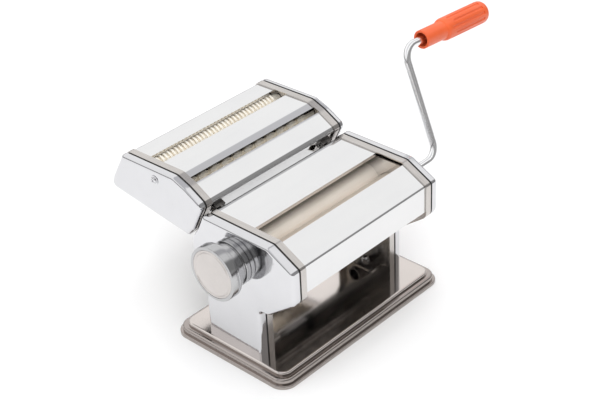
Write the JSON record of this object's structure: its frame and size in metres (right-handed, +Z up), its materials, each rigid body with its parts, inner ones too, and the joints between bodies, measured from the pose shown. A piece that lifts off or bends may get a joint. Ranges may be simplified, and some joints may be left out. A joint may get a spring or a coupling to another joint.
{
  "type": "pasta roller machine",
  "caption": "Hand-cranked dough rolling machine on a flat tray base, with a gap knob, a removable crank and a slide-off cutter head.",
  "frame": {"origin": "middle of the base tray, on the surface that it stands on", "axes": "+X along the rollers towards the crank, +Y back towards the cutter head, +Z up"},
  "size_m": [0.3599, 0.2068, 0.194],
  "materials": {
    "polished_shell": "mirror polished",
    "base_steel": "mirror polished, warm",
    "roller_metal": "polished",
    "cutter_metal": "machined",
    "crank_metal": "bright plated",
    "knob_metal": "turned and polished",
    "knob_face_metal": "satin",
    "grip_plastic": "moulded gloss",
    "inner_steel": "plain",
    "fastener_steel": "bright",
    "foot_rubber": "matt"
  },
  "bodies": {
    "root": {"base_tray": "base_steel", "rubber_feet": "foot_rubber", "left_side_cap": "polished_shell", "right_side_cap": "polished_shell", "left_side_frame": "polished_shell", "right_side_frame": "polished_shell", "rear_hood": "polished_shell", "front_hood": "polished_shell", "base_screws": "fastener_steel", "clamp_socket": "inner_steel", "tie_rods": "inner_steel", "tie_rod_nuts": "fastener_steel", "dough_guides": "polished_shell", "drive_roller_bushes": "inner_steel", "slide_guides": "inner_steel", "front_scraper": "inner_steel", "regulator_bush": "inner_steel", "index_ring": "inner_steel", "attachment_rails": "inner_steel"},
    "drive_roller": {"drive_roller": "roller_metal", "drive_gear": "inner_steel"},
    "roller_carrier": {"left_roller_slide": "inner_steel", "right_roller_slide": "inner_steel", "carrier_tie_bar": "inner_steel", "rear_scraper": "inner_steel"},
    "adjustable_roller": {"adjustable_roller": "roller_metal", "adjustable_gear": "inner_steel"},
    "regulator": {"regulator_shaft": "inner_steel", "regulator_cam": "inner_steel", "shaft_end_washer": "fastener_steel", "knob_spring": "fastener_steel"},
    "knob": {"regulator_knob": "knob_metal", "knob_insert": "knob_face_metal", "index_pin": "fastener_steel"},
    "crank": {"crank_rod": "crank_metal", "crank_pin": "fastener_steel", "grip_retainer": "fastener_steel"},
    "grip": {"crank_grip": "grip_plastic"},
    "cutter_head": {"cutter_left_cap": "polished_shell", "cutter_right_cap": "polished_shell", "cutter_left_frame": "polished_shell", "cutter_right_frame": "polished_shell", "cutter_rear_hood": "polished_shell", "cutter_centre_hood": "polished_shell", "cutter_front_hood": "polished_shell", "cutter_tie_rods": "inner_steel", "cutter_cap_screws": "fastener_steel", "fine_combs": "inner_steel", "wide_combs": "inner_steel", "attachment_hooks": "inner_steel"},
    "fine_drive": {"fine_drive_cutter": "cutter_metal", "fine_drive_gear": "inner_steel"},
    "fine_mate": {"fine_mate_cutter": "cutter_metal", "fine_mate_gear": "inner_steel"},
    "wide_drive": {"wide_drive_cutter": "cutter_metal", "wide_drive_gear": "inner_steel"},
    "wide_mate": {"wide_mate_cutter": "cutter_metal", "wide_mate_gear": "inner_steel"}
  },
  "joints": [
    {"name": "crank_drive", "type": "hinge", "parent": "root", "child": "drive_roller", "pos_m": [0, -0.0287, 0.095], "axis": [1, 0, 0], "continuous": true},
    {"name": "regulator_turn", "type": "hinge", "parent": "root", "child": "regulator", "pos_m": [-0.095, -0.0039, 0.095], "axis": [1, 0, 0], "range_deg": [0, 280]},
    {"name": "roller_gap", "type": "slide", "parent": "root", "child": "roller_carrier", "axis": [0, 1, 0], "range_m": [0, 0.0022]},
    {"name": "adjustable_roller_spin", "type": "hinge", "parent": "roller_carrier", "child": "adjustable_roller", "pos_m": [0, -0.0039, 0.095], "axis": [1, 0, 0], "continuous": true},
    {"name": "knob_pull", "type": "slide", "parent": "regulator", "child": "knob", "axis": [-1, 0, 0], "range_m": [0, 0.005], "stiffness_N_per_m": 800, "springref_m": -0.004},
    {"name": "crank_unplug", "type": "slide", "parent": "drive_roller", "child": "crank", "axis": [1, 0, 0], "range_m": [0, 0.03]},
    {"name": "grip_spin", "type": "hinge", "parent": "crank", "child": "grip", "pos_m": [0.137, 0.008, 0.187], "axis": [0.9981, 0, -0.061], "continuous": true},
    {"name": "cutter_head_lift", "type": "slide", "parent": "root", "child": "cutter_head", "axis": [0, -0.4211, 0.907], "range_m": [0, 0.045]},
    {"name": "fine_drive_spin", "type": "hinge", "parent": "cutter_head", "child": "fine_drive", "pos_m": [0, 0.1032, 0.1306], "axis": [1, 0, 0], "continuous": true},
    {"name": "fine_mate_spin", "type": "hinge", "parent": "cutter_head", "child": "fine_mate", "pos_m": [0, 0.0858, 0.1306], "axis": [1, 0, 0], "continuous": true},
    {"name": "wide_drive_spin", "type": "hinge", "parent": "cutter_head", "child": "wide_drive", "pos_m": [0, 0.0501, 0.1248], "axis": [1, 0, 0], "continuous": true},
    {"name": "wide_mate_spin", "type": "hinge", "parent": "cutter_head", "child": "wide_mate", "pos_m": [0, 0.06587, 0.13215], "axis": [1, 0, 0], "continuous": true}
  ],
  "couplings": [
    {"joint": "adjustable_roller_spin", "follows": "crank_drive", "ratio": -1},
    {"joint": "regulator_turn", "follows": "roller_gap", "rad_per_m": 2221.3},
    {"joint": "fine_mate_spin", "follows": "fine_drive_spin", "ratio": -1},
    {"joint": "wide_mate_spin", "follows": "wide_drive_spin", "ratio": -1}
  ]
}
